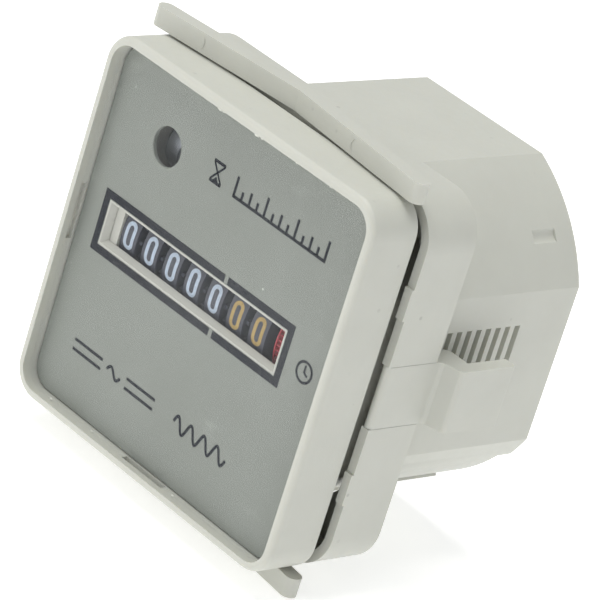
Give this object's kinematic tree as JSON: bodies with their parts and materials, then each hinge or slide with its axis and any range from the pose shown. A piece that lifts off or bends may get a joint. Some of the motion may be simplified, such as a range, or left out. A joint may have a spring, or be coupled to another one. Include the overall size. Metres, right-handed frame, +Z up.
{
  "type": "panel hour meter",
  "caption": "Square panel-mount hour meter with a number-wheel counter, a synchronous motor with its gear train, and a ratchet mounting clip.",
  "frame": {"origin": "centre of the bezel's rear face, the plane that rests on the panel, on the axis of the body", "axes": "+Y points back through the panel along the body, +X to the right and +Z up as seen from the front"},
  "size_m": [0.0554, 0.0404, 0.0536],
  "materials": {
    "case_plastic": "warm grey, fine matte moulding grain",
    "clip_plastic": "warm grey, fine matte moulding grain",
    "window_plastic": "clear, polished",
    "dial_paint": "satin grey paint with black printing",
    "pale_plastic": "satin, pale grey",
    "wheel_plastic": "satin black with printed figures",
    "red_plastic": "satin red",
    "pinion_plastic": "satin black",
    "gear_nylon": "satin, natural",
    "brass": "turned",
    "drum_metal": "brushed, with a black spiral",
    "steel": "turned and polished",
    "zinc_steel": "zinc plated",
    "ferrite": "dark sintered ferrite",
    "bobbin_plastic": "natural",
    "copper_wire": "enamelled copper wire",
    "wire_sleeve": "blue insulation",
    "plated_steel": "nickel plated"
  },
  "bodies": {
    "case": {"front_case": "case_plastic", "rear_cover": "case_plastic", "window": "window_plastic", "dial_plate": "dial_paint", "counter_mask": "pale_plastic", "left_plate": "pale_plastic", "right_plate": "pale_plastic", "motor_plate": "zinc_steel", "frame_pillars": "steel", "frame_screws": "steel", "counter_shaft": "steel", "pinion_shaft": "steel", "gear_pins": "steel", "motor_cup": "zinc_steel", "motor_cover": "zinc_steel", "coil_bobbin": "bobbin_plastic", "coil_winding": "copper_wire", "coil_leads": "wire_sleeve", "terminal_plates": "plated_steel", "terminal_screws": "plated_steel", "terminal_nuts": "brass"},
    "wheel_1": {"number_wheel_1": "wheel_plastic", "input_gear": "red_plastic"},
    "wheel_2": {"number_wheel_2": "wheel_plastic"},
    "wheel_3": {"number_wheel_3": "wheel_plastic"},
    "wheel_4": {"number_wheel_4": "wheel_plastic"},
    "wheel_5": {"number_wheel_5": "wheel_plastic"},
    "wheel_6": {"number_wheel_6": "wheel_plastic"},
    "wheel_7": {"number_wheel_7": "wheel_plastic"},
    "pinion_1": {"transfer_pinion_1": "pinion_plastic"},
    "pinion_2": {"transfer_pinion_2": "pinion_plastic"},
    "pinion_3": {"transfer_pinion_3": "pinion_plastic"},
    "pinion_4": {"transfer_pinion_4": "pinion_plastic"},
    "pinion_5": {"transfer_pinion_5": "pinion_plastic"},
    "pinion_6": {"transfer_pinion_6": "pinion_plastic"},
    "counter_gear": {"counter_gear": "gear_nylon"},
    "indicator": {"indicator_arbor": "steel", "indicator_gear": "brass", "indicator_drum": "drum_metal"},
    "second_gear": {"second_gear": "gear_nylon"},
    "motor_gear": {"motor_gear": "gear_nylon"},
    "rotor": {"rotor_shaft": "steel", "rotor_magnet": "ferrite"},
    "clip": {"clip_ring": "clip_plastic"},
    "latch_right": {"latch_right": "clip_plastic"},
    "latch_left": {"latch_left": "clip_plastic"}
  },
  "joints": [
    {"name": "counter_spin", "type": "hinge", "parent": "case", "child": "wheel_1", "pos_m": [0.009, 0.003, 0.0004], "axis": [1, 0, 0], "continuous": true},
    {"name": "wheel_2_spin", "type": "hinge", "parent": "case", "child": "wheel_2", "pos_m": [0.005, 0.003, 0.0004], "axis": [1, 0, 0], "continuous": true},
    {"name": "wheel_3_spin", "type": "hinge", "parent": "case", "child": "wheel_3", "pos_m": [0.001, 0.003, 0.0004], "axis": [1, 0, 0], "continuous": true},
    {"name": "wheel_4_spin", "type": "hinge", "parent": "case", "child": "wheel_4", "pos_m": [-0.003, 0.003, 0.0004], "axis": [1, 0, 0], "continuous": true},
    {"name": "wheel_5_spin", "type": "hinge", "parent": "case", "child": "wheel_5", "pos_m": [-0.007, 0.003, 0.0004], "axis": [1, 0, 0], "continuous": true},
    {"name": "wheel_6_spin", "type": "hinge", "parent": "case", "child": "wheel_6", "pos_m": [-0.011, 0.003, 0.0004], "axis": [1, 0, 0], "continuous": true},
    {"name": "wheel_7_spin", "type": "hinge", "parent": "case", "child": "wheel_7", "pos_m": [-0.015, 0.003, 0.0004], "axis": [1, 0, 0], "continuous": true},
    {"name": "pinion_1_spin", "type": "hinge", "parent": "case", "child": "pinion_1", "pos_m": [0.007, 0.00894, -0.00554], "axis": [1, 0, 0], "continuous": true},
    {"name": "pinion_2_spin", "type": "hinge", "parent": "case", "child": "pinion_2", "pos_m": [0.003, 0.00894, -0.00554], "axis": [1, 0, 0], "continuous": true},
    {"name": "pinion_3_spin", "type": "hinge", "parent": "case", "child": "pinion_3", "pos_m": [-0.001, 0.00894, -0.00554], "axis": [1, 0, 0], "continuous": true},
    {"name": "pinion_4_spin", "type": "hinge", "parent": "case", "child": "pinion_4", "pos_m": [-0.005, 0.00894, -0.00554], "axis": [1, 0, 0], "continuous": true},
    {"name": "pinion_5_spin", "type": "hinge", "parent": "case", "child": "pinion_5", "pos_m": [-0.009, 0.00894, -0.00554], "axis": [1, 0, 0], "continuous": true},
    {"name": "pinion_6_spin", "type": "hinge", "parent": "case", "child": "pinion_6", "pos_m": [-0.013, 0.00894, -0.00554], "axis": [1, 0, 0], "continuous": true},
    {"name": "counter_gear_spin", "type": "hinge", "parent": "case", "child": "counter_gear", "pos_m": [0.0132, 0.00245, 0.00738], "axis": [1, 0, 0], "continuous": true},
    {"name": "indicator_spin", "type": "hinge", "parent": "case", "child": "indicator", "pos_m": [0, 0.001, 0.0132], "axis": [1, 0, 0], "continuous": true},
    {"name": "second_gear_spin", "type": "hinge", "parent": "case", "child": "second_gear", "pos_m": [0.0016, 0.007, 0.0132], "axis": [1, 0, 0], "continuous": true},
    {"name": "motor_gear_spin", "type": "hinge", "parent": "case", "child": "motor_gear", "pos_m": [0, 0.01279, 0.01165], "axis": [1, 0, 0], "continuous": true},
    {"name": "rotor_spin", "type": "hinge", "parent": "case", "child": "rotor", "pos_m": [-0.008, 0.01663, 0.00843], "axis": [1, 0, 0], "continuous": true},
    {"name": "clip_slide", "type": "slide", "parent": "case", "child": "clip", "axis": [0, 1, 0], "range_m": [0, 0.03]},
    {"name": "latch_right_flex", "type": "hinge", "parent": "clip", "child": "latch_right", "pos_m": [0.0244, 0.00175, 0], "axis": [0, 0, -1], "range_deg": [0, 8], "stiffness_Nm_per_rad": 0.1},
    {"name": "latch_left_flex", "type": "hinge", "parent": "clip", "child": "latch_left", "pos_m": [-0.0244, 0.00175, 0], "axis": [0, 0, 1], "range_deg": [0, 8], "stiffness_Nm_per_rad": 0.1}
  ],
  "couplings": [
    {"joint": "wheel_2_spin", "follows": "counter_spin", "ratio": 0.1},
    {"joint": "wheel_3_spin", "follows": "counter_spin", "ratio": 0.01},
    {"joint": "wheel_4_spin", "follows": "counter_spin", "ratio": 0.001},
    {"joint": "wheel_5_spin", "follows": "counter_spin", "ratio": 0.0001},
    {"joint": "wheel_6_spin", "follows": "counter_spin", "ratio": 0.00001},
    {"joint": "wheel_7_spin", "follows": "counter_spin", "ratio": 0.000001},
    {"joint": "pinion_1_spin", "follows": "counter_spin", "ratio": -0.25},
    {"joint": "pinion_2_spin", "follows": "counter_spin", "ratio": -0.025},
    {"joint": "pinion_3_spin", "follows": "counter_spin", "ratio": -0.0025},
    {"joint": "pinion_4_spin", "follows": "counter_spin", "ratio": -0.00025},
    {"joint": "pinion_5_spin", "follows": "counter_spin", "ratio": -0.000025},
    {"joint": "pinion_6_spin", "follows": "counter_spin", "ratio": -0.0000025},
    {"joint": "counter_gear_spin", "follows": "counter_spin", "ratio": -6},
    {"joint": "indicator_spin", "follows": "counter_spin", "ratio": 30},
    {"joint": "second_gear_spin", "follows": "counter_spin", "ratio": -150},
    {"joint": "motor_gear_spin", "follows": "counter_spin", "ratio": 750},
    {"joint": "rotor_spin", "follows": "counter_spin", "ratio": -3000}
  ]
}
